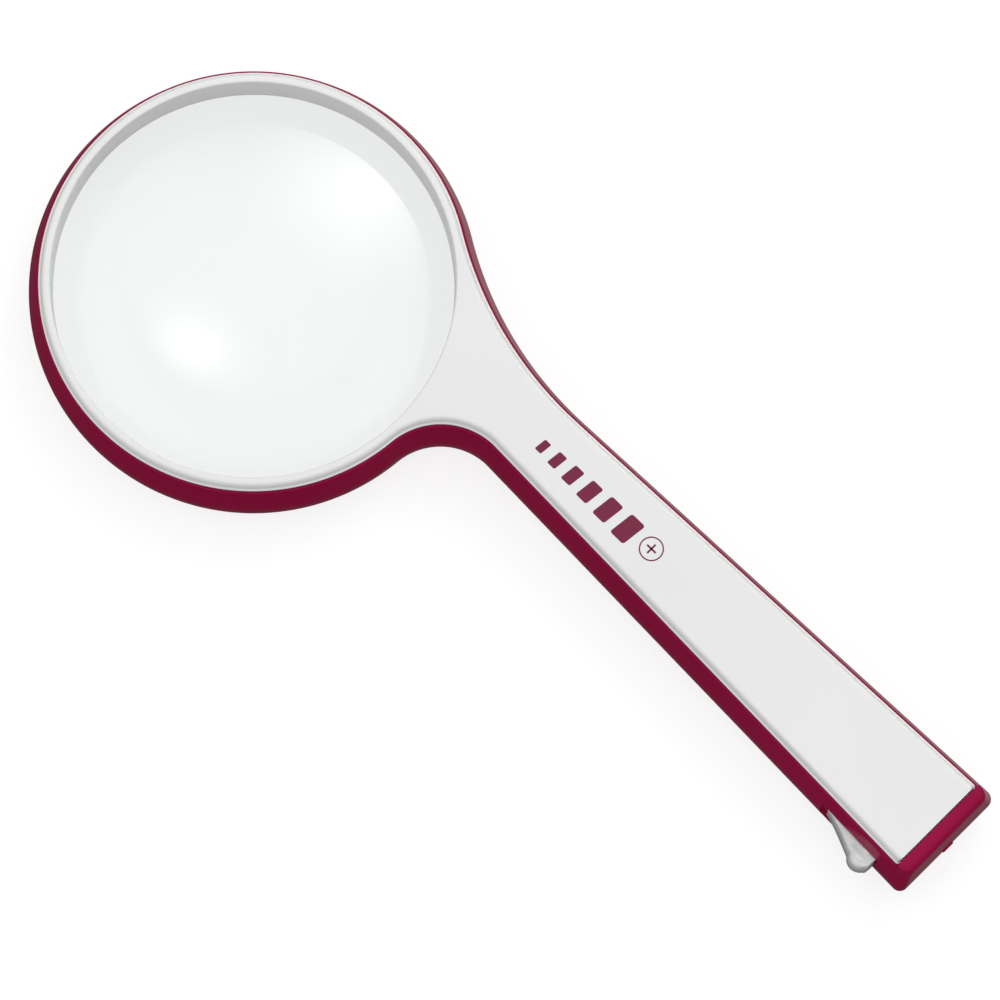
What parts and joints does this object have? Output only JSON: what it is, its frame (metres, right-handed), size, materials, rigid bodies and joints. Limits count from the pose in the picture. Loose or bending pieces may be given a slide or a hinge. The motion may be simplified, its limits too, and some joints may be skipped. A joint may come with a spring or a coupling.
{
  "type": "low vision magnifier",
  "caption": "Illuminated hand magnifier: a thick clear lens sunk in a round ring, with an off-centre tapered handle and a side slide switch.",
  "frame": {"origin": "middle of the footprint on the back plane, where the magnifier lies on its back", "axes": "+X along the handle toward the butt, +Z out of the white face along the lens axis, +Y across"},
  "size_m": [0.231, 0.0936, 0.02],
  "materials": {
    "white_plastic": "satin white moulded plastic",
    "wine_plastic": "glossy wine red moulded plastic",
    "lens_clear": "polished clear optical plastic",
    "window_clear": "clear moulded plastic",
    "board_green": "green circuit board",
    "diode": "white diode package with a yellow phosphor",
    "black_plastic": "black moulded plastic",
    "nickel": "nickel plated spring steel",
    "cell_jacket": "printed cell jacket",
    "steel": "plain zinc plated steel",
    "wire_red": "red insulated wire",
    "wire_white": "white insulated wire",
    "wire_black": "black insulated wire",
    "silver_plate": "satin silver finish on moulded plastic"
  },
  "bodies": {
    "magnifier": {"front_shell": "white_plastic", "rear_shell": "wine_plastic", "lens": "lens_clear", "lens_retainer": "white_plastic", "light_window": "window_clear", "lamp_board": "board_green", "lamp_diode": "diode", "lamp_resistor": "black_plastic", "battery_tray": "black_plastic", "contact_positive": "nickel", "contact_negative": "nickel", "contact_spring": "nickel", "battery_1": "cell_jacket", "battery_2": "cell_jacket", "screw_1": "steel", "screw_2": "steel", "screw_3": "steel", "wire_cell_to_lamp": "wire_red", "wire_switch_to_lamp": "wire_white", "wire_cell_to_switch": "wire_black", "switch_housing": "steel", "switch_board": "board_green"},
    "thumb_slide": {"switch_thumb_piece": "silver_plate", "switch_lever": "black_plastic"},
    "door": {"battery_door": "wine_plastic"}
  },
  "joints": [
    {"name": "switch_slide", "type": "slide", "parent": "magnifier", "child": "thumb_slide", "axis": [-0.9995, 0.0325, 0], "range_m": [0, 0.0014]},
    {"name": "door_slide", "type": "slide", "parent": "magnifier", "child": "door", "axis": [1, 0, 0], "range_m": [0, 0.008]}
  ]
}
